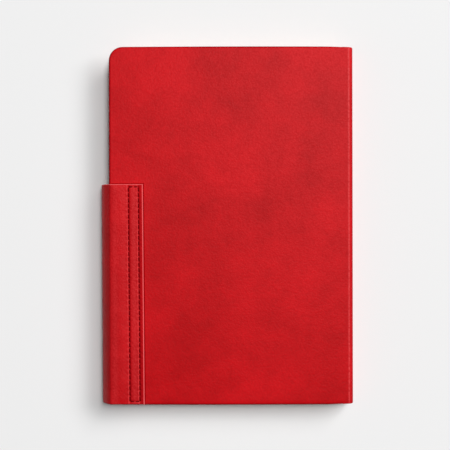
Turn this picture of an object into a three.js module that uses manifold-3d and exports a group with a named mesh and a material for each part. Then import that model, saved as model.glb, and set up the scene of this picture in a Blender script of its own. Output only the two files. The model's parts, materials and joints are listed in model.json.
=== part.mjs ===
// A case-bound notebook in a red leather cover, with a leather pen sleeve sewn to the front cover.
// Millimetres. x runs from the covers' fore edge (0) to the outside of the spine, y from tail to
// head, and z up from the surface that the back cover lies on. The last step centres x.
import * as THREE from "three";
import { mergeVertices } from "three/addons/utils/BufferGeometryUtils.js";
import Module from "manifold-3d";

const wasm = await Module();
wasm.setup();

// Driving dimensions: the case
const COVER_WIDTH = 143; // fore edge to the outside of the spine
const COVER_HEIGHT = 210;
const CORNER_RADIUS = 8; // fore-edge corners in plan
const SMALLEST_RADIUS = 0.6; // of the same corners in the layers inside
const EDGE_ROUNDING = 1.25;
const GAP = 0.05; // air between two glued layers
const LEATHER = 0.65;
const BOARD = 1.4;
const TURN_IN = 0.5; // pared leather folded over the board's inner side
const TURN_IN_WIDTH = 13;
const PAPER_STEP = 0.3; // between the turn-ins' cut edges and the paper that sinks inside them
const PASTEDOWN = 0.15;
const HINGE_CLEARANCE = 0.3; // between a cover's edge and the spine's round shoulder

// Driving dimensions: the book block
const SIGNATURES = 12;
const TURNING_SIGNATURES = 5; // the ones nearest the front cover, each a body of its own
const BLOCK_THICKNESS = 10.15;
const FLYLEAF = 0.15;
const FORE_EDGE_SQUARE = 8; // cover beyond the pages, where the pen lies
const HEAD_SQUARE = 3.5;
const PAGE_CORNER_RADIUS = 5;
const BLOCK_SETBACK = 0.4; // of the block's spine from the hinge axes
const SPINE_CARD = 1.0;
const MULL = 0.4;
const MULL_MARGIN = 1.5; // from its ends to the spine leather's turn-ins
const HEADBAND_RADIUS = 0.7;

// Driving dimensions: the pen sleeve
const SLEEVE_LEATHER = 1.1;
const SLEEVE_TAIL_INSET = 0.5; // from the cover's tail edge
const SLEEVE_LENGTH = 128.8;
const SLEEVE_REACH = 20.35; // from the fore edge to the sleeve's cut edge on the cover
const SLEEVE_BELLY_X = -4.65; // the widest place of the sleeve's middle line
const SLEEVE_FLOOR = 1.0; // height of that line under the pen, above the back cover
const LIP = 0.45; // pared end glued under the front pastedown
const LIP_END = 12.7;
const LIP_CLEARANCE = 0.3;
const SEAM_X = [11.95, 17.8]; // the two long rows of stitches
const SEAM_END_MARGIN = [1.85, 1.6]; // from the sleeve's tail and head ends
const STITCH_PITCH = 3.1;
const STITCH_LENGTH = 2.3;
const END_STITCH_LENGTH = 2.1; // in the two short rows
const THREAD = 0.55;
const THREAD_IN_HOLES = [0.28, 0.15]; // width and height, where the thread dips between stitches
const STITCH_PROUD = 0.08; // of the leather beside the groove
const GROOVE_WIDTH = 0.95;

// Worked out from the above
const COVER_THICKNESS = LEATHER + BOARD + TURN_IN + PASTEDOWN + 4 * GAP;
const BACK_PLANE = COVER_THICKNESS; // height of the back hinge's axis
const FRONT_PLANE = BACK_PLANE + BLOCK_THICKNESS + 2 * GAP; // height of the front hinge's axis
const TOP = FRONT_PLANE + COVER_THICKNESS;
const HINGE_X = COVER_WIDTH - COVER_THICKNESS;
const COVER_END_X = HINGE_X - COVER_THICKNESS - HINGE_CLEARANCE;
const HEAD_Y = COVER_HEIGHT / 2;
const TAIL_Y = -HEAD_Y;
const BLOCK_SPINE_X = HINGE_X - BLOCK_SETBACK;
const PAGE_HALF_HEIGHT = HEAD_Y - HEAD_SQUARE;
const SLEEVE_TAIL_Y = TAIL_Y + SLEEVE_TAIL_INSET;
const SLEEVE_HEAD_Y = SLEEVE_TAIL_Y + SLEEVE_LENGTH;
const INNER_WALL_X = 6.5; // middle of the sleeve's wall beside the pages
const SLEEVE_TOP = TOP + GAP + SLEEVE_LEATHER;
const GROOVE_DEPTH = 0.3; // for the sleeve's stitches
const CUT = 1; // how far a cutting solid runs past the face that it cuts
const OVERLAP = 0.1; // how far one cutting solid runs into the next

// Depths into a cover, from its outer face
const DEPTH = {
  board: [LEATHER + GAP, LEATHER + GAP + BOARD],
  pocket: [LEATHER, LEATHER + BOARD + 2 * GAP],
  leather: [0, LEATHER + BOARD + 2 * GAP + TURN_IN],
};
DEPTH.pastedown = [DEPTH.leather[1] + GAP, DEPTH.leather[1] + GAP + PASTEDOWN];
DEPTH.sunkPaper = [DEPTH.pocket[1], DEPTH.pocket[1] + PASTEDOWN];
const LIP_TOP = TOP - DEPTH.pocket[1] - GAP;

const COLOURS = {
  leather: { color: 0xb71a22, roughness: 0.55 },
  thread: { color: 0x7d0c12, roughness: 0.8 },
  board: { color: 0x8b8378, roughness: 0.9 },
  endpaper: { color: 0xe9e2d2, roughness: 0.85 },
  paper: { color: 0xf1ece0, roughness: 0.85 },
  cloth: { color: 0xe4ded0, roughness: 0.95 },
  headband: { color: 0xa3161d, roughness: 0.7 },
};

// ---- solids ----------------------------------------------------------------------------------

function solidFrom(geometry) {
  geometry.deleteAttribute("normal");
  geometry.deleteAttribute("uv");
  const merged = mergeVertices(geometry, 1e-4);
  return new wasm.Manifold(
    new wasm.Mesh({
      numProp: 3,
      vertProperties: new Float32Array(merged.getAttribute("position").array),
      triVerts: new Uint32Array(merged.index.array),
    }),
  );
}

function geometryFrom(solid) {
  const mesh = solid.getMesh();
  const geometry = new THREE.BufferGeometry();
  geometry.setAttribute("position", new THREE.BufferAttribute(mesh.vertProperties, mesh.numProp));
  geometry.setIndex(new THREE.BufferAttribute(mesh.triVerts, 1));
  const faceted = geometry.toNonIndexed();
  faceted.computeVertexNormals();
  return faceted;
}

function box([x0, x1], [y0, y1], [z0, z1]) {
  const geometry = new THREE.BoxGeometry(x1 - x0, y1 - y0, z1 - z0);
  geometry.translate((x0 + x1) / 2, (y0 + y1) / 2, (z0 + z1) / 2);
  return solidFrom(geometry);
}

// A plate with an outline in the x-y plane, its edges rounded by `rounding`.
function plate(outline, [z0, z1], rounding = 0) {
  const geometry = new THREE.ExtrudeGeometry(outline, {
    depth: z1 - z0 - 2 * rounding,
    curveSegments: 8,
    bevelEnabled: rounding > 0,
    bevelThickness: rounding,
    bevelSize: rounding,
    bevelOffset: -rounding,
    bevelSegments: 3,
  });
  geometry.translate(0, 0, z0 + rounding);
  return solidFrom(geometry);
}

// A profile in the x-z plane, extruded along y.
function alongY(profile, [y0, y1]) {
  const geometry = new THREE.ExtrudeGeometry(profile, {
    depth: y1 - y0,
    curveSegments: 10,
    bevelEnabled: false,
  });
  geometry.rotateX(Math.PI / 2);
  geometry.translate(0, y1, 0);
  return solidFrom(geometry);
}

// A leaf outline: square at the spine, with two round corners at the fore edge.
function leafOutline(foreX, spineX, halfHeight, radius) {
  const outline = new THREE.Shape();
  outline.moveTo(spineX, -halfHeight);
  outline.lineTo(spineX, halfHeight);
  outline.lineTo(foreX + radius, halfHeight);
  outline.absarc(foreX + radius, halfHeight - radius, radius, Math.PI / 2, Math.PI, false);
  outline.lineTo(foreX, radius - halfHeight);
  outline.absarc(foreX + radius, radius - halfHeight, radius, Math.PI, Math.PI * 1.5, false);
  outline.closePath();
  return outline;
}

const coverOutline = (inset, spineX) =>
  leafOutline(inset, spineX, HEAD_Y - inset, Math.max(CORNER_RADIUS - inset, SMALLEST_RADIUS));

const pageOutline = (spineX) =>
  leafOutline(FORE_EDGE_SQUARE, spineX, PAGE_HALF_HEIGHT, PAGE_CORNER_RADIUS);

// Heights of a layer: depths run up from the back cover's face and down from the front's.
const layer = (side, [d0, d1]) => (side === "back" ? [d0, d1] : [TOP - d1, TOP - d0]);

// ---- the covers ------------------------------------------------------------------------------

function coverBoard(side) {
  const outline = coverOutline(LEATHER + GAP, COVER_END_X - HINGE_CLEARANCE);
  return plate(outline, layer(side, DEPTH.board));
}

// Leather over the board, folded in along the head, tail and fore edge.
function coverLeather(side) {
  const past = COVER_END_X + 4 * CUT;
  const [d0, d1] = DEPTH.leather;
  const outside = plate(coverOutline(0, past), layer(side, [d0, d1]), EDGE_ROUNDING);
  const pocket = plate(coverOutline(LEATHER, past + CUT), layer(side, DEPTH.pocket));
  const windowDepth = [DEPTH.pocket[1] - OVERLAP, d1 + CUT];
  const window = plate(coverOutline(TURN_IN_WIDTH, past + CUT), layer(side, windowDepth));
  const joint = box([COVER_END_X, past + CUT], [TAIL_Y - CUT, HEAD_Y + CUT], [-CUT, TOP + CUT]);
  let leather = outside.subtract(pocket).subtract(window).subtract(joint);
  if (side === "front") leather = leather.subtract(lipNotch());
  return leather;
}

// Room in the front cover's turn-in for the sleeve's pared lip.
function lipNotch() {
  const wallFace = INNER_WALL_X - SLEEVE_LEATHER / 2;
  return box(
    [wallFace - LIP_CLEARANCE, TURN_IN_WIDTH + CUT],
    [TAIL_Y + LEATHER + LIP_CLEARANCE / 2, SLEEVE_HEAD_Y + LIP_CLEARANCE],
    layer("front", [DEPTH.pocket[1] - OVERLAP, DEPTH.leather[1] + CUT]),
  );
}

// Endpaper glued to a cover: it lies over the turn-ins and sinks to the board inside them.
function coverPastedown(side) {
  const spineX = COVER_END_X - HINGE_CLEARANCE;
  const inset = TURN_IN_WIDTH + PAPER_STEP;
  const rim = plate(pageOutline(spineX), layer(side, DEPTH.pastedown));
  const tray = plate(
    coverOutline(inset, spineX),
    layer(side, [DEPTH.sunkPaper[0] + GAP, DEPTH.pastedown[1]]),
  );
  const hollow = plate(
    coverOutline(inset + PASTEDOWN, spineX + CUT),
    layer(side, [DEPTH.sunkPaper[1] + GAP, DEPTH.pastedown[1] + CUT]),
  );
  return rim.add(tray).subtract(hollow);
}

// ---- the spine -------------------------------------------------------------------------------

function spineBoard() {
  const outer = COVER_WIDTH - LEATHER - GAP;
  const half = HEAD_Y - LEATHER - GAP;
  return box([outer - SPINE_CARD, outer], [-half, half], [BACK_PLANE, FRONT_PLANE]);
}

// Leather round the spine: a round shoulder about each hinge axis, folded in at head and tail.
function spineLeather() {
  const sweep = THREE.MathUtils.degToRad(165);
  const inner = COVER_THICKNESS - LEATHER;
  const profile = new THREE.Shape();
  profile.absarc(HINGE_X, BACK_PLANE, COVER_THICKNESS, -sweep, 0, false);
  profile.absarc(HINGE_X, FRONT_PLANE, COVER_THICKNESS, 0, sweep, false);
  profile.absarc(HINGE_X, FRONT_PLANE, inner, sweep, 0, true);
  profile.absarc(HINGE_X, BACK_PLANE, inner, 0, -sweep, true);
  profile.closePath();
  let leather = alongY(profile, [TAIL_Y, HEAD_Y]);

  const foldOuterX = COVER_WIDTH - LEATHER - 2 * GAP - SPINE_CARD;
  const foldX = [foldOuterX - TURN_IN, foldOuterX];
  const foldZ = [BACK_PLANE + GAP, FRONT_PLANE - GAP];
  for (const end of [-1, 1]) {
    const edge = [end * HEAD_Y, end * (HEAD_Y - LEATHER)].sort((a, b) => a - b);
    const fold = [end * HEAD_Y, end * (HEAD_Y - TURN_IN_WIDTH)].sort((a, b) => a - b);
    leather = leather.add(box([foldX[0], COVER_WIDTH - LEATHER / 2], edge, foldZ));
    leather = leather.add(box(foldX, fold, foldZ));
  }
  return leather;
}

// Gauze glued down the folds of the signatures.
function mull() {
  const half = PAGE_HALF_HEIGHT - TURN_IN_WIDTH - MULL_MARGIN;
  const x0 = BLOCK_SPINE_X + GAP;
  return box([x0, x0 + MULL], [-half, half], [BACK_PLANE + GAP, FRONT_PLANE - GAP]);
}

// A cord-cored band that closes the block's spine at the head or the tail.
function headband(end) {
  const bead = new THREE.CylinderGeometry(HEADBAND_RADIUS, HEADBAND_RADIUS, BLOCK_THICKNESS, 12);
  bead.rotateX(Math.PI / 2);
  const y = end * (PAGE_HALF_HEIGHT + HEADBAND_RADIUS + GAP);
  bead.translate(BLOCK_SPINE_X - HEADBAND_RADIUS, y, (BACK_PLANE + FRONT_PLANE) / 2);
  return solidFrom(bead);
}

// ---- the pages -------------------------------------------------------------------------------

const SIGNATURE_STEP = (BLOCK_THICKNESS - 2 * FLYLEAF - GAP) / SIGNATURES;
const SIGNATURE_THICKNESS = SIGNATURE_STEP - GAP;

// Number 1 is nearest the front cover. Its spine side is the round fold of its sheets. The ones
// that turn with the front cover stop clear of the spine's shoulder, which their folds bend round.
function signature(number) {
  const spineX = number <= TURNING_SIGNATURES ? COVER_END_X : BLOCK_SPINE_X;
  const z1 = FRONT_PLANE - GAP - FLYLEAF - GAP - (number - 1) * SIGNATURE_STEP;
  const z0 = z1 - SIGNATURE_THICKNESS;
  const radius = SIGNATURE_THICKNESS / 2;
  const fold = new THREE.Shape();
  fold.moveTo(FORE_EDGE_SQUARE - CUT, z0);
  fold.lineTo(spineX - radius, z0);
  fold.absarc(spineX - radius, z0 + radius, radius, -Math.PI / 2, Math.PI / 2, false);
  fold.lineTo(FORE_EDGE_SQUARE - CUT, z1);
  fold.closePath();
  const folded = alongY(fold, [-PAGE_HALF_HEIGHT - CUT, PAGE_HALF_HEIGHT + CUT]);
  return folded.intersect(plate(pageOutline(spineX + CUT), [z0 - CUT, z1 + CUT]));
}

function flyleaf(side) {
  const near = side === "back" ? BACK_PLANE + GAP : FRONT_PLANE - GAP - FLYLEAF;
  const spineX = side === "back" ? BLOCK_SPINE_X : COVER_END_X;
  return plate(pageOutline(spineX), [near, near + FLYLEAF]);
}

// ---- the pen sleeve --------------------------------------------------------------------------

// The middle line of the sleeve's leather, in the x-z plane: flat on the cover, over the fore
// edge, down and outwards round the pen, under it, and up beside the pages.
function sleeveLine() {
  const bendRadius = EDGE_ROUNDING + GAP + SLEEVE_LEATHER / 2;
  const bendEnd = THREE.MathUtils.degToRad(135);
  const bendZ = TOP - EDGE_ROUNDING;
  const floor = BACK_PLANE + SLEEVE_FLOOR;
  const innerRadius = 2.3;
  const line = new THREE.Path();
  line.moveTo(SLEEVE_REACH, bendZ + bendRadius);
  line.lineTo(EDGE_ROUNDING, bendZ + bendRadius);
  line.absarc(EDGE_ROUNDING, bendZ, bendRadius, Math.PI / 2, bendEnd, false);

  const foldX = EDGE_ROUNDING + bendRadius * Math.cos(bendEnd);
  const foldZ = bendZ + bendRadius * Math.sin(bendEnd);
  const bellyZ = floor + 1.9;
  line.bezierCurveTo(foldX - 2.1, foldZ - 2.1, SLEEVE_BELLY_X, bellyZ + 3.7, SLEEVE_BELLY_X, bellyZ);
  line.bezierCurveTo(SLEEVE_BELLY_X, bellyZ - 1.1, SLEEVE_BELLY_X + 0.75, floor, -2.4, floor);
  line.lineTo(INNER_WALL_X - innerRadius, floor);
  line.absarc(INNER_WALL_X - innerRadius, floor + innerRadius, innerRadius, -Math.PI / 2, 0, false);
  return line;
}

// The sleeve in section: leather of even thickness along its line, then up the inner wall to the
// front cover, where it is pared thin and turns in over the board.
function sleeveSection() {
  const apart = (point, i, all) => i === 0 || point.distanceTo(all[i - 1]) > 1e-6;
  const points = sleeveLine().getPoints(8).filter(apart);
  const left = [];
  const right = [];
  points.forEach((point, i) => {
    const before = points[Math.max(i - 1, 0)];
    const after = points[Math.min(i + 1, points.length - 1)];
    const along = after.clone().sub(before).normalize();
    const across = new THREE.Vector2(-along.y, along.x).multiplyScalar(SLEEVE_LEATHER / 2);
    left.push(point.clone().add(across));
    right.push(point.clone().sub(across));
  });
  const lip = [
    new THREE.Vector2(INNER_WALL_X - SLEEVE_LEATHER / 2, LIP_TOP),
    new THREE.Vector2(LIP_END, LIP_TOP),
    new THREE.Vector2(LIP_END, LIP_TOP - LIP),
    new THREE.Vector2(INNER_WALL_X + SLEEVE_LEATHER / 2, LIP_TOP - LIP),
  ];
  return new THREE.Shape([...left, ...lip, ...right.reverse()]);
}

// A rectangular ring along the seam.
function seamRing(width, [z0, z1]) {
  const y = [SLEEVE_TAIL_Y + SEAM_END_MARGIN[0], SLEEVE_HEAD_Y - SEAM_END_MARGIN[1]];
  const grow = (span, by) => [span[0] - by, span[1] + by];
  const outer = box(grow(SEAM_X, width / 2), grow(y, width / 2), [z0, z1]);
  const inner = box(grow(SEAM_X, -width / 2), grow(y, -width / 2), [z0 - CUT, z1 + CUT]);
  return outer.subtract(inner);
}

function penSleeve() {
  const strip = alongY(sleeveSection(), [SLEEVE_TAIL_Y, SLEEVE_HEAD_Y]);
  const groove = seamRing(GROOVE_WIDTH, [SLEEVE_TOP - GROOVE_DEPTH, SLEEVE_TOP + CUT]);
  const tailNotch = box(
    [INNER_WALL_X - SLEEVE_LEATHER, LIP_END + CUT],
    [TAIL_Y - CUT, TAIL_Y + LEATHER + 1.5 * LIP_CLEARANCE],
    [FRONT_PLANE, TOP - CUT],
  );
  return strip.subtract(groove).subtract(tailNotch);
}

// One thread round the seam: thin in the needle holes, and full in each stitch.
function sleeveStitching() {
  const low = SLEEVE_TOP - GROOVE_DEPTH + GAP;
  const high = SLEEVE_TOP + STITCH_PROUD;
  let thread = seamRing(THREAD_IN_HOLES[0], [low, low + THREAD_IN_HOLES[1]]);
  const tail = SLEEVE_TAIL_Y + SEAM_END_MARGIN[0];
  const head = SLEEVE_HEAD_Y - SEAM_END_MARGIN[1];
  const across = (middle, size) => [middle - size / 2, middle + size / 2];
  const rowStitches = Math.round((head - tail) / STITCH_PITCH);
  const rowPitch = (head - tail) / rowStitches;
  for (const x of SEAM_X)
    for (let i = 0; i < rowStitches; i++) {
      const y = tail + (i + 0.5) * rowPitch;
      thread = thread.add(box(across(x, THREAD), across(y, STITCH_LENGTH), [low, high]));
    }
  const endStitches = 2;
  const endPitch = (SEAM_X[1] - SEAM_X[0]) / endStitches;
  for (const y of [tail, head])
    for (let i = 0; i < endStitches; i++) {
      const x = SEAM_X[0] + (i + 0.5) * endPitch;
      thread = thread.add(box(across(x, END_STITCH_LENGTH), across(y, THREAD), [low, high]));
    }
  return thread;
}

// ---- the assembly ----------------------------------------------------------------------------

const notebook = new THREE.Group();

function place(group, name, solid, finish) {
  const material = new THREE.MeshStandardMaterial({ ...COLOURS[finish], metalness: 0 });
  const mesh = new THREE.Mesh(geometryFrom(solid), material);
  mesh.name = name;
  group.add(mesh);
}

const backCover = new THREE.Group();
const frontCover = new THREE.Group();
for (const [side, group] of [["back", backCover], ["front", frontCover]]) {
  place(group, `${side}_board`, coverBoard(side), "board");
  place(group, `${side}_cover_leather`, coverLeather(side), "leather");
  place(group, `${side}_pastedown`, coverPastedown(side), "endpaper");
}
place(frontCover, "pen_sleeve", penSleeve(), "leather");
place(frontCover, "sleeve_stitching", sleeveStitching(), "thread");

const block = new THREE.Group();
place(block, "spine_board", spineBoard(), "board");
place(block, "spine_leather", spineLeather(), "leather");
place(block, "spine_mull", mull(), "cloth");
place(block, "headband_head", headband(1), "headband");
place(block, "headband_tail", headband(-1), "headband");
place(block, "back_flyleaf", flyleaf("back"), "endpaper");

const leaves = new THREE.Group();
place(leaves, "front_flyleaf", flyleaf("front"), "endpaper");
for (let number = 1; number <= SIGNATURES; number++) {
  const name = `signature_${String(number).padStart(2, "0")}`;
  const group = number <= TURNING_SIGNATURES ? leaves : block;
  place(group, name, signature(number), "paper");
}

notebook.add(backCover, block, leaves, frontCover);
const extent = new THREE.Box3().setFromObject(notebook);
notebook.position.x = -(extent.min.x + extent.max.x) / 2;

export default notebook;
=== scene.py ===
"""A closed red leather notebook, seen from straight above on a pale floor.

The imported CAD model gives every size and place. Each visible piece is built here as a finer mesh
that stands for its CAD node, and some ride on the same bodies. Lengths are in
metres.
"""

import json
import math

import bmesh
import bpy
import numpy as np
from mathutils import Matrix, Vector

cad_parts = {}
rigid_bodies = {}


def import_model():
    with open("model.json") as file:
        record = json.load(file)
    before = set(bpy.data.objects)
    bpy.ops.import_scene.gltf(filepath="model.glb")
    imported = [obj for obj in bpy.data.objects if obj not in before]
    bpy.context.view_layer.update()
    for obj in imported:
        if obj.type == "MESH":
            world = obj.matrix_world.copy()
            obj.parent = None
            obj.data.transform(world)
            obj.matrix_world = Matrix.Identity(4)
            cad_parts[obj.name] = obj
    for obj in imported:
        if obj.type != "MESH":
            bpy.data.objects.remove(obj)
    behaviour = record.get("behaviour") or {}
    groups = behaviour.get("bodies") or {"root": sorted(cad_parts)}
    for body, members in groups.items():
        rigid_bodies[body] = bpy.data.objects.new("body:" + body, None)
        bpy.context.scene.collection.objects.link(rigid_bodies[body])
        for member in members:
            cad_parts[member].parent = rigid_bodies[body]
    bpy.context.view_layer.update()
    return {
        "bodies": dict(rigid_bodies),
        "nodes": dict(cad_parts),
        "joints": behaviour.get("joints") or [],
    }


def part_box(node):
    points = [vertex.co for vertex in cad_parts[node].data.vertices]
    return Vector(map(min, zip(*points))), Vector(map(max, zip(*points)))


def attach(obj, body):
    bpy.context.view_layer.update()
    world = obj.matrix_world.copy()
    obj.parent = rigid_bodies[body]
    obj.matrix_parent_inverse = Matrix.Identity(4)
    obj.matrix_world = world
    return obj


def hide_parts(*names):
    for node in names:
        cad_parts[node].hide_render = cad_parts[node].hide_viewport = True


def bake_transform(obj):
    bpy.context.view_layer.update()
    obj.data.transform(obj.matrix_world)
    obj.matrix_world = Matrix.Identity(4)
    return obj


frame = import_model()

MM = 0.001

# Places read from the CAD model
COVER_LOW, COVER_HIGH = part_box("front_cover_leather")
FORE_X = COVER_LOW.x
HALF_HEIGHT = COVER_HIGH.y
TOP_Z = COVER_HIGH.z
SPINE_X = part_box("spine_leather")[1].x
JOINT = {joint["name"]: joint["pos_m"] for joint in frame["joints"]}
HINGE_X = JOINT["front_joint"][0]
FRONT_Z = JOINT["front_joint"][2]
BACK_Z = JOINT["back_joint"][2]
MIDDLE_Z = (FRONT_Z + BACK_Z) / 2
SHOULDER = TOP_Z - FRONT_Z
SHOULDER_RISE = FRONT_Z - MIDDLE_Z
BOARD_END_X = COVER_HIGH.x
PAGE_LOW, PAGE_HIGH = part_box("signature_12")
SLEEVE_LOW, SLEEVE_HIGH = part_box("pen_sleeve")

# Sizes that the finer meshes add
CORNER_RADIUS = 8 * MM
PAGE_CORNER_RADIUS = 5 * MM
EDGE_ROUNDING = 1.25 * MM
COVER_THICKNESS = 2.65 * MM
TURN_IN_WIDTH = 13 * MM
TURN_IN_STEP = 0.4 * MM
AROUND_STEP = np.array([-0.6, -0.3, 0, 0.3, 0.6]) * MM  # points close enough to draw the step
BOARD_AND_TURN_IN = 1.5 * MM
SPINE_CARD = 0.9 * MM
SHOULDER_ARC = SHOULDER * math.pi / 2
PRESSED_DEPTH = 0.32 * MM
PRESSED_STEPS = np.arange(-0.9, 1.4, 0.14) * MM  # points close enough to draw the pressed line
PAPER = 0.15 * MM
BLANK_MARGIN = 14 * MM  # at the head and the tail of a ruled page
RULING_PITCH = 7 * MM
RULED_LINE = 0.22 * MM

# The pen sleeve, in section and along its seam
SLEEVE_LEATHER = 1.1 * MM
SLEEVE_SKEW = 0.42 * MM  # how far each end of the sleeve is off square
LAP_Z = TOP_Z + 0.05 * MM  # the underside of the part that is sewn to the cover
LAP_EDGE = SLEEVE_HIGH.x
FOLD_X = FORE_X + 1.45 * MM  # where the lap starts to turn down over the fore edge
FOLD_RADIUS = 0.95 * MM
FOLD_TURN = 42  # degrees
SIDE_X = FORE_X - 4.4 * MM  # where the sleeve bulges furthest out
SIDE_Z = BACK_Z + 2.9 * MM
SLEEVE_FLOOR_Z = BACK_Z + 1.0 * MM
INNER_X = FORE_X + 6.5 * MM  # the inner wall, which ends in the lip glued under the cover
INNER_RADIUS = 2.3 * MM
INNER_TOP_Z = FRONT_Z - 0.9 * MM
CUT_STEPS = np.array([0.0, 0.08, 0.18, 0.28, 0.38]) * MM
CUT_DROPS = np.array([0.72, 0.42, 0.2, 0.07, 0.0]) * MM  # how far the cut edge is rubbed down
SEAM_X = (FORE_X + 11.95 * MM, FORE_X + 17.8 * MM)
SEAM_TAIL = SLEEVE_LOW.y + 1.85 * MM
SEAM_HEAD = SLEEVE_HIGH.y - 1.6 * MM
SEAM_GROOVE = 0.5 * MM
STITCHES = 40
STITCH_PITCH = (SEAM_HEAD - SEAM_TAIL) / STITCHES
STITCH_REACH = 0.41 * STITCH_PITCH
STITCH_SKEW = 0.16 * MM
THREAD_RADIUS = 0.38 * MM
THREAD_DIVE = 0.32 * MM  # how far a stitch's ends sink into the leather
THREAD_Z = LAP_Z + SLEEVE_LEATHER - 0.24 * MM

# The camera looks straight down and takes in this width at the height of the cover.
CAMERA_DISTANCE = 0.6
VIEW_WIDTH = 0.26323
CAMERA_OFFSET = (-0.00092, 0.00034)
CAMERA_ROLL = -0.0018

FLOOR_HALF_WIDTH = 12.0
FLOOR_GREY = 0.82
WORLD_STRENGTH = 0.04
LIGHTS = (  # name, place, width and height, power; each is aimed at the notebook
    ("high_panel", (1.6, 2.85, 7.3), (2.2, 5.4), 222),
    ("side_panel", (5.15, 3.33, 5.15), (5.8, 3.1), 478),
    ("top", (1.4, 1.4, 8.0), (2.1, 2.1), 206),
)


# ---- materials -------------------------------------------------------------------------------


def srgb(red, green, blue):
    """A colour on the 0 to 255 scale as linear RGBA."""
    channels = []
    for value in (red, green, blue):
        c = value / 255
        channels.append(c / 12.92 if c <= 0.04045 else ((c + 0.055) / 1.055) ** 2.4)
    return (*channels, 1.0)


class Nodes:
    """Builds one material's node tree, a call for each node."""

    def __init__(self, name, roughness, specular):
        self.material = bpy.data.materials.new(name)
        self.material.use_nodes = True
        self.tree = self.material.node_tree
        self.shader = self.tree.nodes["Principled BSDF"]
        self.shader.inputs["Roughness"].default_value = roughness
        self.shader.inputs["Specular IOR Level"].default_value = specular

    def add(self, kind, settings=None, **inputs):
        """A node with its settings made, and its inputs linked or set."""
        node = self.tree.nodes.new(kind)
        for key, value in (settings or {}).items():
            setattr(node, key, value)
        for key, value in inputs.items():
            self.feed(node.inputs[key], value)
        return node

    def feed(self, socket, value):
        """Links an output to a socket, or sets the socket to a value."""
        if isinstance(value, bpy.types.NodeSocket):
            self.tree.links.new(value, socket)
        else:
            socket.default_value = value

    def math(self, operation, a, b=0.0):
        node = self.add("ShaderNodeMath", {"operation": operation})
        self.feed(node.inputs[0], a)
        self.feed(node.inputs[1], b)
        return node.outputs[0]

    def place(self):
        """The point's position at rest, in metres, so a pattern stays on a piece that bends."""
        return self.add("ShaderNodeAttribute", {"attribute_name": "rest"}).outputs["Vector"]

    def stored(self, name):
        """A number that `keep` has stored at each vertex."""
        return self.add("ShaderNodeAttribute", {"attribute_name": name}).outputs["Fac"]

    def noise(self, vector, size, detail, roughness):
        """Cloudy values from 0 to 1 whose largest clouds are about `size` across."""
        return self.add(
            "ShaderNodeTexNoise",
            Vector=vector,
            Scale=1 / size,
            Detail=detail,
            Roughness=roughness,
        ).outputs["Fac"]

    def span(self, value, low, high, to_low=0.0, to_high=1.0):
        """Carries the range from low to high over to another range, and stops at its ends."""
        node = self.add("ShaderNodeMapRange", {"clamp": True})
        for socket, number in zip(node.inputs, (value, low, high, to_low, to_high)):
            self.feed(socket, number)
        return node.outputs[0]

    def mix(self, factor, a, b):
        """Colour a where the factor is 0, and colour b where it is 1."""
        node = self.add("ShaderNodeMix", {"data_type": "RGBA"})
        self.feed(node.inputs[0], factor)
        self.feed(node.inputs[6], a)
        self.feed(node.inputs[7], b)
        return node.outputs[2]

    def bump(self, height, distance, strength, normal=None):
        """The normal over a height, on top of another bump if one is given."""
        node = self.add("ShaderNodeBump", Height=height, Distance=distance, Strength=strength)
        if normal is not None:
            self.feed(node.inputs["Normal"], normal)
        return node.outputs["Normal"]

    def finish(self, colour, normal=None, roughness=None):
        """Feeds the surface, and gives back the finished material."""
        self.feed(self.shader.inputs["Base Color"], colour)
        if normal is not None:
            self.feed(self.shader.inputs["Normal"], normal)
        if roughness is not None:
            self.feed(self.shader.inputs["Roughness"], roughness)
        return self.material


CLOUD_SIZE = 34 * MM
HOLLOW_SIZE = 4 * MM
HOLLOW_DEPTH = 0.14 * MM
GRAIN_SIZE = 1.3 * MM
PEBBLE_SIZE = 0.95 * MM
# the colours of the painted shade and of the painted highlight on the leather
PAINTED_SHADE_RED = srgb(84, 4, 10)
PAINTED_HIGHLIGHT_RED = srgb(218, 70, 72)


def leather(name, light, dark, grain_depth):
    """Matt coated leather: clouds of tone, a fine pebbled grain, and a painted light gradient that
    makes it paler at the head and darker at the tail.

    Painted shade darkens it where its stored shade mask is high, and a painted highlight makes the
    top of its grain paler where its stored highlight mask is high.
    """
    n = Nodes(name, 0.42, 0.09)
    place = n.place()
    clouds = n.noise(place, CLOUD_SIZE, 4.0, 0.62)
    hollows = n.noise(place, HOLLOW_SIZE, 2.0, 0.6)
    y = n.add("ShaderNodeSeparateXYZ", Vector=place).outputs["Y"]
    # painted light: paler at the head and darker at the tail, as the light falls from beyond the
    # head
    painted_light_gradient = n.span(y, -HALF_HEIGHT, HALF_HEIGHT, -0.08, 0.06)
    tone = n.math("ADD", clouds, painted_light_gradient)
    colour = n.mix(n.span(tone, 0.32, 0.68), dark, light)
    pebbles = n.add(
        "ShaderNodeTexVoronoi",
        {"feature": "SMOOTH_F1"},
        Vector=place,
        Scale=1 / PEBBLE_SIZE,
        Smoothness=0.5,
    ).outputs["Distance"]
    grain = n.noise(place, GRAIN_SIZE, 3.0, 0.65)
    height = n.math("SUBTRACT", grain, n.math("MULTIPLY", pebbles, 0.7))
    speckle = n.span(height, -0.25, 0.45, 0.9, 1.08)
    tinted = n.add("ShaderNodeVectorMath", {"operation": "SCALE"}, Scale=speckle)
    n.feed(tinted.inputs[0], colour)
    soft = n.bump(hollows, HOLLOW_DEPTH, 0.5)
    normal = n.bump(height, grain_depth, 0.7, soft)
    # painted shade, mixed in where the stored shade mask is high
    darkened = n.math("MULTIPLY", n.stored("rim"), 0.65)
    shaded = n.mix(darkened, tinted.outputs[0], PAINTED_SHADE_RED)
    # painted highlight on the tops of the grain, where the stored highlight mask is high
    rubbed = n.math("MULTIPLY", n.stored("rub"), n.span(height, -0.2, 0.35, 0.15, 0.95))
    highlighted = n.mix(rubbed, shaded, PAINTED_HIGHLIGHT_RED)
    return n.finish(highlighted, normal, n.span(height, -0.25, 0.45, 0.49, 0.41))


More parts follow.
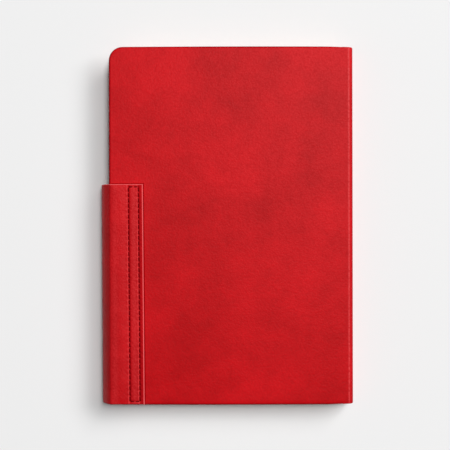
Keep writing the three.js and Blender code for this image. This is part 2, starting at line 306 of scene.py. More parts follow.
def cut_edge(name):
    """The raw, paler edge of cut leather, with its fibres."""
    n = Nodes(name, 0.75, 0.25)
    fibres = n.noise(n.place(), 0.35 * MM, 3.0, 0.7)
    colour = n.mix(n.span(fibres, 0.3, 0.7), srgb(212, 74, 78), srgb(240, 108, 110))
    return n.finish(colour, n.bump(fibres, 0.05 * MM, 0.5))


def thread_material():
    """Dark red waxed thread, with the twist of its strands."""
    n = Nodes("thread", 0.8, 0.02)
    twist = n.add(
        "ShaderNodeTexWave",
        {"bands_direction": "DIAGONAL"},
        Vector=n.place(),
        Scale=900.0,
        Distortion=2.0,
    ).outputs["Fac"]
    colour = n.mix(twist, srgb(94, 0, 4), srgb(130, 2, 8))
    return n.finish(colour, n.bump(twist, 0.06 * MM, 0.6))


def page_material(ruled):
    """Cream paper, with feint lines on a ruled section's faces and its sheets at its sides."""
    n = Nodes("ruled_paper" if ruled else "endpaper", 0.85, 0.2)
    place = n.place()
    fibre = n.noise(place, 1.5 * MM, 4.0, 0.6)
    paper = n.mix(n.span(fibre, 0.3, 0.7), srgb(236, 228, 209), srgb(246, 240, 226))
    if not ruled:
        return n.finish(paper, n.bump(fibre, 0.02 * MM, 0.4))
    separate = n.add("ShaderNodeSeparateXYZ", Vector=place)
    y = separate.outputs["Y"]
    along = n.math("MULTIPLY", n.math("ADD", separate.outputs["X"], y), 12.0)
    down = n.math("MULTIPLY", n.stored("depth"), 9.0)
    edge = n.add("ShaderNodeCombineXYZ", X=along, Y=down, Z=0.0)
    sheets = n.add(
        "ShaderNodeTexNoise", Vector=edge.outputs[0], Scale=1.0, Detail=3.0, Roughness=0.7
    ).outputs["Fac"]
    lines = n.mix(n.span(sheets, 0.32, 0.66), srgb(186, 174, 150), srgb(240, 232, 214))
    rule = n.math("LESS_THAN", n.math("PINGPONG", y, RULING_PITCH / 2), RULED_LINE / 2)
    inside_margins = n.math("LESS_THAN", n.math("ABSOLUTE", y), PAGE_HIGH.y - BLANK_MARGIN)
    rule = n.math("MULTIPLY", rule, inside_margins)
    face = n.mix(n.math("MULTIPLY", rule, 0.55), paper, srgb(150, 165, 190))
    on_side = n.math("GREATER_THAN", n.stored("side"), 0.5)
    colour = n.mix(on_side, face, lines)
    height = n.math("MULTIPLY", sheets, on_side)
    return n.finish(colour, n.bump(height, 0.08 * MM, 0.8))


def cardboard():
    """Grey binder's board with darker flecks."""
    n = Nodes("binders_board", 0.9, 0.2)
    place = n.add("ShaderNodeTexCoord").outputs["Object"]
    flecks = n.noise(place, 0.8 * MM, 4.0, 0.7)
    colour = n.mix(n.span(flecks, 0.35, 0.65), srgb(122, 112, 98), srgb(158, 148, 132))
    return n.finish(colour, n.bump(flecks, 0.05 * MM, 0.5))


def woven_cloth():
    """The open weave of the cloth that is glued over the folds of the sections."""
    n = Nodes("mull_cloth", 0.95, 0.1)
    place = n.add("ShaderNodeTexCoord").outputs["Object"]
    warp = n.add("ShaderNodeTexWave", {"bands_direction": "Y"}, Vector=place, Scale=500.0)
    weft = n.add("ShaderNodeTexWave", {"bands_direction": "Z"}, Vector=place, Scale=500.0)
    weave = n.math("MAXIMUM", warp.outputs["Fac"], weft.outputs["Fac"])
    colour = n.mix(weave, srgb(176, 168, 150), srgb(232, 226, 210))
    return n.finish(colour, n.bump(weave, 0.1 * MM, 0.7))


def headband_material():
    """Silk in stripes of two colours; `depth` is the distance along the band in millimetres."""
    n = Nodes("headband_silk", 0.6, 0.4)
    wraps = n.math("DIVIDE", n.stored("depth"), 1.6)
    stripe = n.math("GREATER_THAN", n.math("FRACT", wraps), 0.5)
    colour = n.mix(stripe, srgb(170, 24, 32), srgb(232, 224, 204))
    silk = n.noise(n.place(), 0.2 * MM, 2.0, 0.5)
    return n.finish(colour, n.bump(silk, 0.03 * MM, 0.4))


RED = leather("cover_leather", srgb(199, 10, 20), srgb(173, 3, 11), 0.08 * MM)
SLEEVE_RED = leather("sleeve_leather", srgb(202, 16, 24), srgb(175, 8, 16), 0.16 * MM)
EDGE_RED = cut_edge("leather_cut_edge")
THREAD = thread_material()
ENDPAPER = page_material(False)
PAGES = page_material(True)
BOARD = cardboard()
MULL = woven_cloth()
SILK = headband_material()


# ---- meshes ----------------------------------------------------------------------------------


def add_piece(name, points, faces, materials, indices=None, crease=40):
    """A mesh object with its rest positions kept as an attribute for its materials.

    `indices` gives each face its material. Faces that meet at over `crease` degrees look sharp.
    """
    mesh = bpy.data.meshes.new(name)
    mesh.from_pydata([tuple(p) for p in points], [], [tuple(map(int, f)) for f in faces])
    for material in materials:
        mesh.materials.append(material)
    if indices is not None:
        mesh.polygons.foreach_set("material_index", np.asarray(indices, np.int32))
    piece = bpy.data.objects.new(name, mesh)
    bpy.context.scene.collection.objects.link(piece)
    shaped = bmesh.new()
    shaped.from_mesh(mesh)
    bmesh.ops.remove_doubles(shaped, verts=shaped.verts, dist=1e-7)
    bmesh.ops.recalc_face_normals(shaped, faces=shaped.faces)
    shaped.to_mesh(mesh)
    shaped.free()
    mesh.polygons.foreach_set("use_smooth", np.ones(len(mesh.polygons), bool))
    mesh.set_sharp_from_angle(angle=math.radians(crease))
    rest = np.zeros(len(mesh.vertices) * 3, np.float32)
    mesh.vertices.foreach_get("co", rest)
    kept = mesh.attributes.new("rest", "FLOAT_VECTOR", "POINT")
    kept.data.foreach_set("vector", rest)
    return piece


def keep(piece, name, values):
    """Stores one number for each vertex, for a material to read."""
    stored = piece.data.attributes.new(name, "FLOAT", "POINT")
    stored.data.foreach_set("value", np.asarray(values, np.float32))


def positions(piece):
    """The rest position of each vertex, a row of x, y and z."""
    flat = np.zeros(len(piece.data.vertices) * 3)
    piece.data.vertices.foreach_get("co", flat)
    return flat.reshape(-1, 3)


def smoothstep(low, high, value):
    """0 below low, 1 above high, and an S-shaped rise between."""
    t = np.clip((value - low) / (high - low), 0, 1)
    return t * t * (3 - 2 * t)


def bell(away, width):
    """1 at the middle, and falls off over about `width` on each side."""
    return np.exp(-((away / width) ** 2))


def nothing(s, *_):
    """No relief, or no pull, at the distances s."""
    return np.zeros(np.shape(s))


def tube_faces(rings, around):
    """The faces of a tube with closed ends, whose points go round ring after ring."""
    faces = []
    for i in range(rings - 1):
        this, following = i * around, (i + 1) * around
        for j in range(around):
            k = (j + 1) % around
            faces.append((this + j, this + k, following + k, following + j))
    faces.append(tuple(range(around))[::-1])
    faces.append(tuple(range((rings - 1) * around, rings * around)))
    return faces


class Slab:
    """A sheet or board with two round corners at its fore edge and rounded edges.

    It reaches `half` to each side of y = 0. `beyond` lists the distances from the fore edge, after
    the corners, at which it has points, and `rows` the heights. For such distances, `path` gives
    the point (x, z) on the upper face and the normal there, and `thickness` the thickness.
    `relief(s, y, upper)` moves a face inwards, and `pull(s)` draws in the head and the tail.
    """

    def __init__(
        self, beyond, half, corner, path, thickness, rounding, rows, relief=nothing, pull=nothing
    ):
        self.turns = np.radians(np.linspace(0, 90, 10))
        self.beyond = np.asarray(beyond, float)
        self.half = half
        self.corner = corner
        self.path = path
        self.rows = np.asarray(rows)
        self.relief = relief
        self.pull = pull
        start = corner * (1 - np.cos(self.turns))
        self.thickness = thickness(np.concatenate([start, self.beyond]))
        self.round = np.minimum(rounding, self.thickness * 0.45)

    def plan(self, inset):
        """Distance from the fore edge, and half height, of each column."""
        n = len(self.turns)
        reach = self.corner - inset[:n]
        s = np.concatenate([self.corner - reach * np.cos(self.turns), self.beyond])
        core = self.half - self.corner
        y = np.concatenate([core + reach * np.sin(self.turns), self.half - inset[n:]])
        return s, y - self.pull(s)

    def face(self, inset, depth, upper=None):
        """The grid of points at an inset from the edges and a depth below the upper face.

        `upper` is True or False on the two large faces, which have relief, and None in between.
        """
        s, half = self.plan(inset)
        core = self.half - self.corner
        steps = np.array([0.35, 0.7, 1.0])
        outer = core + steps[None, :] * (half[:, None] - core)
        middle = np.broadcast_to(self.rows[None, :], (len(s), len(self.rows)))
        y = np.concatenate([-outer[:, ::-1], middle, outer], axis=1)
        base, normal = self.path(s)
        depths = np.broadcast_to(depth[:, None], y.shape)
        if upper is not None:
            ss = np.broadcast_to(s[:, None], y.shape)
            sign = 1 if upper else -1
            depths = depths + sign * self.relief(ss, y, upper)
        x = base[:, 0, None] - normal[:, 0, None] * depths
        z = base[:, 1, None] - normal[:, 1, None] * depths
        return np.stack([x, y, z], axis=2)

    def build(self):
        """The points and faces of the upper face, rounded edges, lower face and spine end."""
        r, t = self.round, self.thickness
        angles = np.radians([0, 22, 45, 68, 90])
        levels = [(r * (1 - math.sin(a)), r * (1 - math.cos(a))) for a in angles]
        levels += [(inset, t - depth) for inset, depth in reversed(levels)]
        grids = [self.face(inset, depth) for inset, depth in levels]
        grids[0] = self.face(*levels[0], upper=True)
        grids[-1] = self.face(*levels[-1], upper=False)
        columns, rows = grids[0].shape[:2]
        index = np.arange(columns * rows).reshape(columns, rows)
        around = np.concatenate([index[::-1, 0], index[0, 1:-1], index[:, -1]])
        points, faces = [grids[0].reshape(-1, 3)], []
        a, b = index[:-1, :-1].ravel(), index[1:, :-1].ravel()
        c, d = index[1:, 1:].ravel(), index[:-1, 1:].ravel()
        faces += list(zip(a, b, c, d))
        ring, count = around, columns * rows
        ends = [[around[0]], [around[-1]]]
        for grid in grids[1:-1]:
            points.append(grid.reshape(-1, 3)[around])
            lower = np.arange(count, count + len(around))
            faces += list(zip(ring[:-1], ring[1:], lower[1:], lower[:-1]))
            ends[0].append(lower[0])
            ends[1].append(lower[-1])
            ring, count = lower, count + len(around)
        points.append(grids[-1].reshape(-1, 3))
        under = index + count
        lower = around + count
        faces += list(zip(ring[:-1], ring[1:], lower[1:], lower[:-1]))
        faces += list(zip(a + count, d + count, c + count, b + count))
        ends[0].append(lower[0])
        ends[1].append(lower[-1])
        faces += list(zip(index[-1, :-1], index[-1, 1:], under[-1, 1:], under[-1, :-1]))
        faces += [ends[0], ends[1][::-1]]
        return np.concatenate(points), faces


def flat_path(start, z):
    """The path of a level upper face that starts at x = start."""

    def path(s):
        base = np.stack([start + s, np.full(len(s), z)], axis=1)
        normal = np.tile([0.0, 1.0], (len(s), 1))
        return base, normal

    return path


def upside_down(points):
    """Mirrors points between the front and the back cover."""
    flipped = points.copy()
    flipped[:, 2] = 2 * MIDDLE_Z - flipped[:, 2]
    return flipped


def sleeve_lean(y):
    """The sleeve is sewn on a little askew: nearer the spine at the tail than at the head."""
    middle = (SLEEVE_LOW.y + SLEEVE_HIGH.y) / 2
    return SLEEVE_SKEW * (middle - y) / (SLEEVE_HIGH.y - middle)


# ---- the case --------------------------------------------------------------------------------


def case_path(s):
    """The outside of the leather: level over the board, round the shoulder and down the spine."""
    level = HINGE_X - FORE_X
    x = FORE_X + np.minimum(s, level)
    turn = np.clip((s - level) / SHOULDER, 0, math.pi / 2)
    down = np.maximum(s - level - SHOULDER_ARC, 0)
    base = np.stack(
        [x + SHOULDER * np.sin(turn), FRONT_Z + SHOULDER * np.cos(turn) - down], axis=1
    )
    return base, np.stack([np.sin(turn), np.cos(turn)], axis=1)


def case_thickness(s):
    """Leather, board and turn-in at the cover, leather at the joint, leather and card behind."""
    end = BOARD_END_X - FORE_X
    spine = HINGE_X - FORE_X + SHOULDER
    joint = smoothstep(end - 0.6 * MM, end + 0.5 * MM, s)
    card = smoothstep(spine, spine + 2.5 * MM, s)
    return COVER_THICKNESS - BOARD_AND_TURN_IN * joint + SPINE_CARD * card


def pressed_line(s, y):
    """The line that the sleeve's clamped edge leaves in the cover beside it."""
    beside = s - (SLEEVE_HIGH.x - FORE_X) - sleeve_lean(np.minimum(y, SLEEVE_HIGH.y))
    away = np.maximum(beside, y - SLEEVE_HIGH.y)
    return PRESSED_DEPTH * bell(away - 0.2 * MM, 0.26 * MM)


def turn_in_relief(s, y):
    """The board's inner side, sunk inside the leather that is folded in round three edges."""
    inset = np.minimum(s, HALF_HEIGHT - np.abs(y))
    board = BOARD_END_X - FORE_X - 1.5 * MM
    inside = smoothstep(TURN_IN_WIDTH - 0.3 * MM, TURN_IN_WIDTH + 0.3 * MM, inset)
    return TURN_IN_STEP * inside * (1 - smoothstep(board, board + 1 * MM, s))


def case_pull(s):
    """Leather drawn in at head and tail: a little towards the fore edge, more at the spine."""
    length = SPINE_X - FORE_X
    bow = 0.22 * MM * (2 * s / length - 1) ** 2
    return bow + 0.45 * MM * smoothstep(length - 16 * MM, length + 2 * MM, s)


def case_relief(s, y, upper, side):
    """The sunk board inside each cover, and the pressed line on the outside of the front."""
    if not upper:
        return turn_in_relief(s, y)
    return pressed_line(s, y) if side == "front" else nothing(s)


def case_rows(half, corner):
    """The heights of the points between the corners, closer together where something is drawn."""
    core = half - corner
    ridge = HALF_HEIGHT - TURN_IN_WIDTH
    rows = list(np.linspace(-core, core, 33))
    rows += list(SLEEVE_HIGH.y + PRESSED_STEPS)
    rows += [sign * (ridge + step) for sign in (-1, 1) for step in AROUND_STEP]
    return np.unique(np.round([y for y in rows if abs(y) <= core], 7))


def case_stations():
    """Distances from the fore edge, over the board, the joint, the shoulder and half the spine."""
    end = BOARD_END_X - FORE_X
    level = HINGE_X - FORE_X
    ridge = [*(TURN_IN_WIDTH + AROUND_STEP), 17 * MM, *(SLEEVE_HIGH.x - FORE_X + PRESSED_STEPS)]
    board = list(np.linspace(TURN_IN_WIDTH + 10 * MM, end - 2.5 * MM, 26))
    joint = list(np.linspace(end - 2 * MM, level, 14))
    shoulder = list(level + np.linspace(0, SHOULDER_ARC, 13)[1:])
    spine = list(level + SHOULDER_ARC + np.linspace(0, SHOULDER_RISE, 11)[1:])
    return [9 * MM, 11 * MM, *ridge, *board, *joint, *shoulder, *spine]


def bend_at_joint(piece, side):
    """Fixes the piece where it stands; the ends of the joint are worked out but not used, and
    nothing bends it.
    """
    start = np.array([[SPINE_X, 0, FRONT_Z - 3.2 * MM]])
    end = np.array([[BOARD_END_X + 0.5 * MM, 0, TOP_Z]])
    if side == "back":
        start, end = upside_down(start), upside_down(end)
    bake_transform(piece)


def case_painted_light(rest, side):
    """Where the cover gets a painted highlight, and where painted shade darkens it."""
    beside = HALF_HEIGHT - CORNER_RADIUS
    over_x = np.maximum(FORE_X + CORNER_RADIUS - rest[:, 0], 0)
    over_y = np.maximum(np.abs(rest[:, 1]) - beside, 0)
    reach = np.hypot(over_x, over_y) - CORNER_RADIUS
    # painted shade along the rounded edges, all round the outline
    rim = smoothstep(-1.1 * MM, -0.2 * MM, reach)
    # painted shade in the pressed line beside the sleeve
    if side == "front":
        groove = pressed_line(rest[:, 0] - FORE_X, rest[:, 1]) * (rest[:, 2] > FRONT_Z)
        rim = np.maximum(rim, groove / (0.4 * MM))
    turned = np.arctan2(rest[:, 0] - HINGE_X, np.abs(rest[:, 2] - MIDDLE_Z) - SHOULDER_RISE)
    turned = np.degrees(turned)  # 0 where the shoulder starts and 90 where the spine does
    # painted shade over the shoulder's rounding and the spine's side
    spine = 0.3 * smoothstep(22, 50, turned) + 0.45 * smoothstep(62, 88, turned)
    # a painted highlight along the start of the shoulder, and all the painted shade
    return bell(turned - 9, 8), np.maximum(rim, spine)


def case_leather(name, side):
    """One cover's leather and half of the spine's."""
    slab = Slab(
        case_stations(),
        HALF_HEIGHT,
        CORNER_RADIUS,
        case_path,
        case_thickness,
        EDGE_ROUNDING,
        case_rows(HALF_HEIGHT, CORNER_RADIUS),
        lambda s, y, upper: case_relief(s, y, upper, side),
        case_pull,
    )
    points, faces = slab.build()
    if side == "back":
        points = upside_down(points)
    piece = add_piece(name, points, faces, [RED], crease=50)
    # the cover's painted highlight and painted shade, stored for its material
    rub, rim = case_painted_light(positions(piece), side)
    keep(piece, "rub", rub)
    keep(piece, "rim", rim)
    bend_at_joint(piece, side)
    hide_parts(f"{side}_cover_leather", "spine_leather")


def pastedown(name, side):
    """The half of an endpaper that is glued to the cover, from its fore edge to the joint."""
    start = PAGE_LOW.x
    half = PAGE_HIGH.y
    end = HINGE_X + 0.15 * MM - start
    shift = start - FORE_X
    z = TOP_Z - COVER_THICKNESS - 0.02 * MM

    def relief(s, y, upper):
        sunk = turn_in_relief(s + shift, y)
        return -sunk if upper else sunk

    ridge = [s for s in TURN_IN_WIDTH - shift + AROUND_STEP if s > PAGE_CORNER_RADIUS]
    board_end = BOARD_END_X - start
    board = list(np.linspace(8 * MM, board_end - 2.5 * MM, 26))
    joint = [board_end - 1.5 * MM, board_end, *np.linspace(board_end + 1.1 * MM, end, 16)]
    slab = Slab(
        [*ridge, *board, *joint],
        half,
        PAGE_CORNER_RADIUS,
        flat_path(start, z),
        lambda s: np.full(len(s), PAPER),
        0.05 * MM,
        case_rows(half, PAGE_CORNER_RADIUS),
        relief,
    )
    points, faces = slab.build()
    if side == "back":
        points = upside_down(points)
    piece = add_piece(name, points, faces, [ENDPAPER])
    bend_at_joint(piece, side)
    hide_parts(f"{side}_pastedown")


# ---- the pages -------------------------------------------------------------------------------


def leaf_slab(name, node, material, body):
    """A folded section or a single leaf, flat, with its fold at the block's spine.

    `depth` counts down through the block, for the lines of its sheets, and `side` is 0 on the two
    large faces, which carry the ruling.
    """
    low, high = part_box(node)
    thickness = high.z - low.z
    end = PAGE_HIGH.x - low.x
    stations = [*np.linspace(7 * MM, end - 8 * MM, 16), *np.linspace(end - 7.5 * MM, end, 26)]
    rows = np.linspace(-PAGE_HIGH.y + PAGE_CORNER_RADIUS, PAGE_HIGH.y - PAGE_CORNER_RADIUS, 13)

    def fold(s):
        inside = np.clip((end - s) / (thickness / 2 + 1e-9), 0, 1)
        return thickness * np.maximum(np.sqrt(1 - (1 - inside) ** 2), 0.25)

    def path(s):
        base, normal = flat_path(low.x, high.z)(s)
        base[:, 1] -= (thickness - fold(s)) / 2
        return base, normal

    slab = Slab(stations, PAGE_HIGH.y, PAGE_CORNER_RADIUS, path, fold, 0.06 * MM, rows)
    points, faces = slab.build()
    piece = add_piece(name, points, faces, [material])
    z = positions(piece)[:, 2]
    number = int(node[-2:]) if node[-1].isdigit() else 0
    keep(piece, "depth", (high.z - z) / MM + 3 * number)
    skin = 0.01 * MM
    keep(piece, "side", (z <= high.z - skin) & (z >= low.z + skin))
    if body == "book_block":
        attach(piece, body)
    else:
        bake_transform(piece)
    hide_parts(node)


def headband(name, node):
    """A bead wrapped with two colours of silk."""
    low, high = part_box(node)
    middle = (low + high) / 2
    length = high.z - low.z
    radius = (high.x - low.x) / 2
    wraps, steps, around = 13, 8, 20
    rings = wraps * steps + 1
    points = []
    for i in range(rings):
        share = i / (rings - 1)
        swell = 0.86 + 0.14 * abs(math.sin(share * wraps * math.pi))
        taper = math.sqrt(max(1 - (2 * share - 1) ** 16, 0.02))
        r = radius * swell * taper
        for j in range(around):
            angle = 2 * math.pi * j / around
            x = middle.x + r * math.cos(angle)
            y = middle.y + r * math.sin(angle)
            points.append((x, y, low.z + length * share))
    piece = add_piece(name, points, tube_faces(rings, around), [SILK])
    keep(piece, "depth", (positions(piece)[:, 2] - low.z) / MM)
    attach(piece, "book_block")
    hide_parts(node)


# ---- the pen sleeve --------------------------------------------------------------------------


def bezier(a, b, c, d, count):
    """Points on the curve that leaves a towards b and comes to d from c."""
    t = np.linspace(0, 1, count)[:, None]
    a, b, c, d = map(np.asarray, (a, b, c, d))
    return (1 - t) ** 3 * a + 3 * (1 - t) ** 2 * t * b + 3 * (1 - t) * t**2 * c + t**3 * d


def arc(centre, radius, start, end, count):
    """Points round a centre, from one angle to another in degrees."""
    angle = np.radians(np.linspace(start, end, count))
    return np.stack(
        [centre[0] + radius * np.cos(angle), centre[1] + radius * np.sin(angle)], axis=1
    )


def sleeve_line():
    """The middle of the sleeve's leather in section, from its cut edge to its glued lip."""
    flat = LAP_Z + SLEEVE_LEATHER / 2
    x = np.concatenate(
        [
            LAP_EDGE - CUT_STEPS,
            np.linspace(LAP_EDGE - 0.9 * MM, SEAM_X[1] + 1.3 * MM, 4),
            np.linspace(SEAM_X[1] + 1.0 * MM, SEAM_X[1] - 1.2 * MM, 12),
            np.linspace(SEAM_X[1] - 1.6 * MM, SEAM_X[0] + 1.4 * MM, 7),
            np.linspace(SEAM_X[0] + 1.0 * MM, SEAM_X[0] - 1.2 * MM, 12),
            np.linspace(SEAM_X[0] - 1.7 * MM, FOLD_X + 0.4 * MM, 13),
        ]
    )
    lap = np.stack([x, np.full(len(x), flat)], axis=1)
    bend = arc((FOLD_X, flat - FOLD_RADIUS), FOLD_RADIUS, 90, 90 + FOLD_TURN, 8)
    turned = math.radians(FOLD_TURN)
    leaving = bend[-1] + np.array([-math.cos(turned), -math.sin(turned)]) * 4.0 * MM
    widest = (SIDE_X, SIDE_Z)
    wall = bezier(bend[-1], leaving, (SIDE_X, SIDE_Z + 5.2 * MM), widest, 16)[1:]
    under = (SIDE_X, SIDE_Z - 1.1 * MM)
    arriving = (FORE_X - 3.9 * MM, SLEEVE_FLOOR_Z)
    belly = bezier(widest, under, arriving, (FORE_X - 2.4 * MM, SLEEVE_FLOOR_Z), 10)[1:]
    centre = (INNER_X - INNER_RADIUS, SLEEVE_FLOOR_Z + INNER_RADIUS)
    turn = arc(centre, INNER_RADIUS, -90, 0, 8)
    inner = np.linspace(turn[-1], (INNER_X, INNER_TOP_Z), 5)[1:]
    return np.concatenate([lap, bend, wall, belly, turn, inner])


def seam_height(x, y):
    """How the outer face of the lap rises and sinks: its crown, seam, puckers and lifted edge."""
    middle = np.clip((x - FOLD_X) / (SEAM_X[0] - FOLD_X), 0, 1)
    crown = 0.6 * MM * np.sin(math.pi * middle) * (0.95 - 0.1 * middle)
    between = np.clip((x - SEAM_X[0]) / (SEAM_X[1] - SEAM_X[0]), 0, 1)
    crown += 0.16 * MM * np.sin(math.pi * between)
    inside = smoothstep(SEAM_TAIL - 1.2 * MM, SEAM_TAIL + 2 * MM, y)
    inside *= 1 - smoothstep(SEAM_HEAD - 2 * MM, SEAM_HEAD + 0.9 * MM, y)
    wander = 0.12 * np.sin(y / (5.3 * MM)) + 0.08 * np.sin(y / (2.1 * MM) + 1)
    height = crown * (0.5 + (0.5 + wander) * inside)
    along = smoothstep(SEAM_TAIL - 0.9 * MM, SEAM_TAIL - 0.3 * MM, y)
    along *= 1 - smoothstep(SEAM_HEAD + 0.3 * MM, SEAM_HEAD + 0.9 * MM, y)
    stitch = np.clip(((y - SEAM_TAIL) / STITCH_PITCH).astype(int), 0, STITCHES - 1)
    uneven = np.random.default_rng(11).uniform(0.8, 1.2, STITCHES)[stitch]
    pull = np.cos(2 * math.pi * (y - SEAM_TAIL) / STITCH_PITCH) * uneven
    for row in SEAM_X:
        groove = bell(x - row, SEAM_GROOVE)
        lip = bell(x - row + 0.85 * MM, 0.4 * MM)
        pucker = bell(np.abs(x - row) - 0.9 * MM, 0.6 * MM)
        height = height - along * groove * (0.42 + 0.1 * pull) * MM
        height = height + along * lip * (0.12 - 0.04 * pull) * MM
        height = height - along * pucker * 0.05 * pull * MM
    across = smoothstep(SEAM_X[0] - 0.6 * MM, SEAM_X[0], x)
    across *= 1 - smoothstep(SEAM_X[1], SEAM_X[1] + 0.6 * MM, x)
    for row in (SEAM_TAIL, SEAM_HEAD):
        height = height - across * bell(y - row, SEAM_GROOVE) * 0.3 * MM
    return height + 0.3 * MM * smoothstep(SEAM_X[1] + 0.6 * MM, LAP_EDGE, x)


def cut_drop(inset):
    """How far the rubbed-down cut edge lies below the face of the leather."""
    return np.interp(inset, CUT_STEPS, CUT_DROPS)


def surface(line, outward, y, offset, aside):
    """The grid of points at an offset from the sleeve's line, each row moved aside."""
    x = line[:, 0, None] + outward[:, 0, None] * offset + aside
    z = line[:, 1, None] + outward[:, 1, None] * offset
    return np.stack([x, np.broadcast_to(y[None, :], x.shape), z], axis=2)


def sleeve_faces(raw):
    """The faces of the sleeve's two sides and four edges, and whether each shows cut leather.

    `raw` says which points of the outer side lie on the rubbed-down edges.
    """
    outer = np.arange(raw.size).reshape(raw.shape)
    inner = outer + raw.size
    faces, cut = [], []

    def quads(a, b, c, d, shows_cut):
        faces.extend(zip(a.ravel(), b.ravel(), c.ravel(), d.ravel()))
        cut.extend(np.broadcast_to(shows_cut, a.shape).ravel())

    outermost_corner_raw = raw[:-1, 1:]
    quads(outer[:-1, :-1], outer[1:, :-1], outer[1:, 1:], outer[:-1, 1:], outermost_corner_raw)
    quads(inner[:-1, :-1], inner[:-1, 1:], inner[1:, 1:], inner[1:, :-1], False)
    quads(outer[:-1, 0], outer[1:, 0], inner[1:, 0], inner[:-1, 0], False)
    quads(outer[:-1, -1], outer[1:, -1], inner[1:, -1], inner[:-1, -1], True)
    quads(outer[0, :-1], outer[0, 1:], inner[0, 1:], inner[0, :-1], True)
    quads(outer[-1, :-1], outer[-1, 1:], inner[-1, 1:], inner[-1, :-1], True)
    return faces, cut


def sleeve_painted_light(rest):
    """Where the sleeve gets painted highlights, and where painted shade darkens it."""
    lean = sleeve_lean(rest[:, 1])
    outside = rest[:, 2] > TOP_Z + SLEEVE_LEATHER / 2
    from_rows = [rest[:, 0] - lean - row for row in SEAM_X]
    # painted highlights on the lips beside the seam rows, over the fold and between the rows
    lips = sum(bell(away + 0.75 * MM, 0.3 * MM) for away in from_rows)
    grooves = sum(bell(away, SEAM_GROOVE) for away in from_rows)
    grooves = grooves * (rest[:, 1] > SEAM_TAIL) * (rest[:, 1] < SEAM_HEAD)
    over_fold = bell(rest[:, 0] - FORE_X - 3.6 * MM, 1.9 * MM)
    between = bell(rest[:, 0] - lean - sum(SEAM_X) / 2, 1.7 * MM)
    rub = (0.55 * lips + 0.24 * over_fold + 0.2 * between) * outside
    # painted shade at the fold over the fore edge, along the tail's edge and in the seam grooves
    fold = bell(rest[:, 0] - FORE_X - 0.6 * MM, 1.6 * MM)
    tail = 1 - smoothstep(0.2 * MM, 0.7 * MM, rest[:, 1] - SLEEVE_LOW.y)
    rim = np.maximum(0.25 * fold, 0.8 * tail)
    return rub, np.maximum(rim, 0.45 * grooves * outside)


def pen_sleeve():
    """A strip of leather along its line, with its seam pressed in and its cut edges rubbed down."""
    line = sleeve_line()
    along = np.gradient(line, axis=0)
    along /= np.linalg.norm(along, axis=1)[:, None]
    outward = np.stack([along[:, 1], -along[:, 0]], axis=1)
    low, high = SLEEVE_LOW.y, SLEEVE_HIGH.y
    count = int((high - low) / (0.5 * MM))
    inner_rows = np.linspace(low + 0.9 * MM, high - 0.9 * MM, count)
    y = np.concatenate([low + CUT_STEPS, inner_rows, high - CUT_STEPS[::-1]])
    travelled = np.concatenate([[0], np.cumsum(np.linalg.norm(np.diff(line, axis=0), axis=1))])
    inset = np.minimum(travelled[:, None], (high - y)[None, :])
    on_lap = (line[:, 0] > FORE_X + 1.2 * MM) & (line[:, 1] > TOP_Z)
    xx, yy = np.meshgrid(line[:, 0], y, indexing="ij")
    relief = seam_height(xx, yy) * on_lap[:, None]
    lift = 0.24 * MM * smoothstep(SEAM_X[1] + 0.7 * MM, LAP_EDGE, xx) * on_lap[:, None]
    free = smoothstep(FORE_X + 1.2 * MM, FORE_X + 5 * MM, line[:, 0]) * on_lap
    free = free + 0.7 * smoothstep(0.5 * MM, 2.5 * MM, FORE_X - line[:, 0])
    aside = free[:, None] * sleeve_lean(y)
    rounded = np.maximum(cut_drop(inset), cut_drop(y - low))
    outer = surface(line, outward, y, SLEEVE_LEATHER / 2 + relief - rounded, aside)
    inner = surface(line, outward, y, lift - SLEEVE_LEATHER / 2, aside)
    points = np.concatenate([outer.reshape(-1, 3), inner.reshape(-1, 3)])
    faces, cut = sleeve_faces(inset < CUT_STEPS[-1] - 1e-7)
    piece = add_piece(
        "sleeve", points, faces, [SLEEVE_RED, EDGE_RED], cut, crease=55
    )
    # the sleeve's painted highlight and painted shade, stored for its material
    rub, rim = sleeve_painted_light(positions(piece))
    keep(piece, "rub", rub)
    keep(piece, "rim", rim)
    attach(piece, "front_cover")
    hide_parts("pen_sleeve")


def stitch_points(start, end, rings, around):
    """A stitch: a short length of thread whose ends dive into the leather."""
    start, end = np.asarray(start), np.asarray(end)
    axis = (end - start) / np.linalg.norm(end - start)
    side = np.cross(axis, (0, 0, 1))
    side /= np.linalg.norm(side)
    points = []
    for i in range(rings):
        t = i / (rings - 1)
        middle = start + (end - start) * t
        middle = middle - np.array([0, 0, THREAD_DIVE * (2 * t - 1) ** 4])
        r = THREAD_RADIUS * math.sqrt(max(1 - abs(2 * t - 1) ** 5, 0.04))
        for j in range(around):
            angle = 2 * math.pi * j / around
            offset = side * math.cos(angle) * r
            points.append(middle + offset + np.array([0, 0, math.sin(angle) * r]))
    return points


def sleeve_thread():
    """Two long rows and two short ones, a stitch at a time, each a little askew."""
    stitches = []
    for x in SEAM_X:
        for i in range(STITCHES):
            y = SEAM_TAIL + (i + 0.5) * STITCH_PITCH
            middle = x + sleeve_lean(y)
            start = (middle + STITCH_SKEW, y - STITCH_REACH, THREAD_Z)
            end = (middle - STITCH_SKEW, y + STITCH_REACH, THREAD_Z)
            stitches.append((start, end))
    half = (SEAM_X[1] - SEAM_X[0]) / 2
    reach = 0.42 * half
    for y in (SEAM_TAIL, SEAM_HEAD):
        for i in range(2):
            x = SEAM_X[0] + (i + 0.5) * half + sleeve_lean(y)
            stitches.append(((x - reach, y, THREAD_Z), (x + reach, y, THREAD_Z)))
    rings, around = 9, 8
    points, faces = [], []
    for start, end in stitches:
        faces += [[k + len(points) for k in face] for face in tube_faces(rings, around)]
        points += stitch_points(start, end, rings, around)
    piece = add_piece("sleeve_thread", points, faces, [THREAD])
    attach(piece, "front_cover")
    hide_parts("sleeve_stitching")


# ---- the scene -------------------------------------------------------------------------------


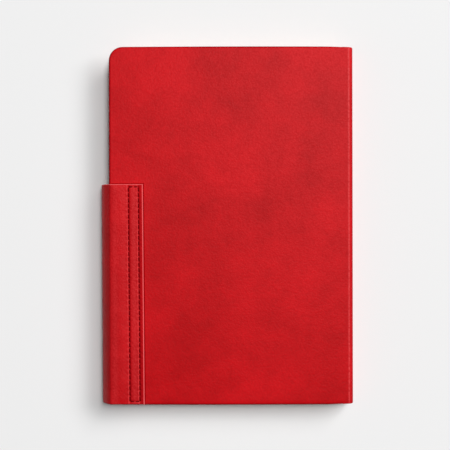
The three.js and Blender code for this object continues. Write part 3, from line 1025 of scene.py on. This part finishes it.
def build_notebook():
    """Every piece that is seen. Boards, card and cloth are the CAD pieces with a material."""
    case_leather("front_leather", "front")
    case_leather("back_leather", "back")
    pastedown("front_endpaper", "front")
    pastedown("back_endpaper", "back")
    leaf_slab("front_free_leaf", "front_flyleaf", ENDPAPER, "turned_front_flyleaf")
    leaf_slab("back_free_leaf", "back_flyleaf", ENDPAPER, "book_block")
    for number in range(1, 13):
        node = f"signature_{number:02d}"
        turned = f"turned_{node}"
        body = turned if turned in frame["bodies"] else "book_block"
        leaf_slab(f"pages_{number:02d}", node, PAGES, body)
    headband("head_silk_band", "headband_head")
    headband("tail_silk_band", "headband_tail")
    pen_sleeve()
    sleeve_thread()
    for node, material in (
        ("front_board", BOARD),
        ("back_board", BOARD),
        ("spine_board", BOARD),
        ("spine_mull", MULL),
    ):
        mesh = frame["nodes"][node].data
        mesh.materials.clear()
        mesh.materials.append(material)


def add_floor():
    """A plain pale floor, a little below the notebook."""
    mesh = bpy.data.meshes.new("floor")
    size = FLOOR_HALF_WIDTH
    corners = [(-size, -size, 0), (size, -size, 0), (size, size, 0), (-size, size, 0)]
    mesh.from_pydata(corners, [], [(0, 1, 2, 3)])
    floor = bpy.data.objects.new("floor", mesh)
    floor.location.z = -0.2 * MM
    n = Nodes("floor_paper", 0.9, 0.1)
    mesh.materials.append(n.finish((FLOOR_GREY, FLOOR_GREY, FLOOR_GREY, 1)))
    bpy.context.scene.collection.objects.link(floor)


def add_area_light(name, location, size, power):
    """A soft panel aimed at the notebook, which is at the origin."""
    data = bpy.data.lights.new(name, "AREA")
    data.shape = "RECTANGLE"
    data.size, data.size_y = size
    data.energy = power
    lamp = bpy.data.objects.new(name, data)
    lamp.location = location
    lamp.rotation_euler = (-Vector(location)).to_track_quat("-Z", "Y").to_euler()
    bpy.context.scene.collection.objects.link(lamp)


def add_camera():
    """Straight above the notebook."""
    data = bpy.data.cameras.new("camera")
    camera = bpy.data.objects.new("camera", data)
    camera.location = (*CAMERA_OFFSET, TOP_Z + CAMERA_DISTANCE)
    camera.rotation_euler.z = CAMERA_ROLL
    data.angle = 2 * math.atan(VIEW_WIDTH / 2 / CAMERA_DISTANCE)
    bpy.context.scene.collection.objects.link(camera)
    bpy.context.scene.camera = camera


def light_scene():
    """Three soft panels, above and beyond the head and the spine, and a faint light all round."""
    scene = bpy.context.scene
    scene.view_settings.view_transform = "Standard"
    world = bpy.data.worlds.new("studio")
    scene.world = world
    world.use_nodes = True
    background = world.node_tree.nodes["Background"]
    background.inputs["Color"].default_value = (1, 1, 1, 1)
    background.inputs["Strength"].default_value = WORLD_STRENGTH
    for light in LIGHTS:
        add_area_light(*light)


build_notebook()
add_floor()
light_scene()
add_camera()
